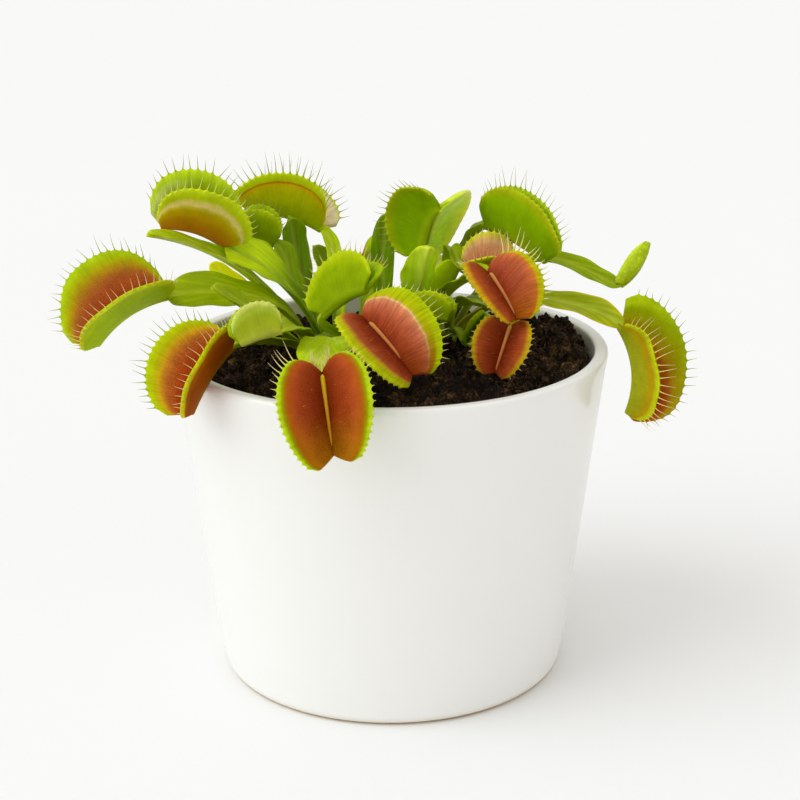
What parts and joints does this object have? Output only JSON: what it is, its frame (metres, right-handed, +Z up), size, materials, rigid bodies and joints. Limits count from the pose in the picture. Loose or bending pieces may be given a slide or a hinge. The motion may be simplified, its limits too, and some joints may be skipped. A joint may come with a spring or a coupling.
{
  "type": "potted carnivorous plant",
  "caption": "Venus flytrap with winged leaf stalks and toothed two-lobed traps, rooted in dark peat in a round tapered glazed pot with a rounded rim.",
  "frame": {"origin": "centre of the pot's underside", "axes": "+Z up along the pot's axis, +X to the right and -Y towards the viewer of the picture"},
  "size_m": [0.1653, 0.1356, 0.1326],
  "materials": {
    "glaze": "white satin-gloss glaze over light earthenware, bare clay at the foot's edge",
    "peat": "dark, moist, crumbly peat with fibres, fully matte",
    "rhizome": "pale green, overlapping leaf bases, dull",
    "leaf": "smooth, slightly waxy green leaf, red inside the traps"
  },
  "bodies": {
    "root": {"pot": "glaze", "peat": "peat", "rhizome_left": "rhizome", "rhizome_right": "rhizome", "leaf_far_left": "leaf", "leaf_low_left": "leaf", "leaf_left_inner": "leaf", "leaf_upper_left": "leaf", "leaf_upper_middle": "leaf", "leaf_upper_small": "leaf", "leaf_centre": "leaf", "leaf_centre_front": "leaf", "leaf_front": "leaf", "leaf_right_centre": "leaf", "leaf_right_front": "leaf", "leaf_back_centre": "leaf", "leaf_back_right": "leaf", "leaf_middle_right": "leaf", "leaf_long_right": "leaf", "leaf_far_right": "leaf", "leaf_low_right": "leaf", "leaf_small_right": "leaf", "leaf_small_centre": "leaf", "leaf_young_spoon": "leaf", "leaf_young_back": "leaf", "leaf_back_blade": "leaf", "leaf_back_low": "leaf", "leaf_under_left": "leaf", "leaf_left_tip": "leaf", "leaf_left_bud": "leaf", "leaf_rear_left": "leaf", "leaf_rear_right": "leaf"}
  },
  "joints": []
}
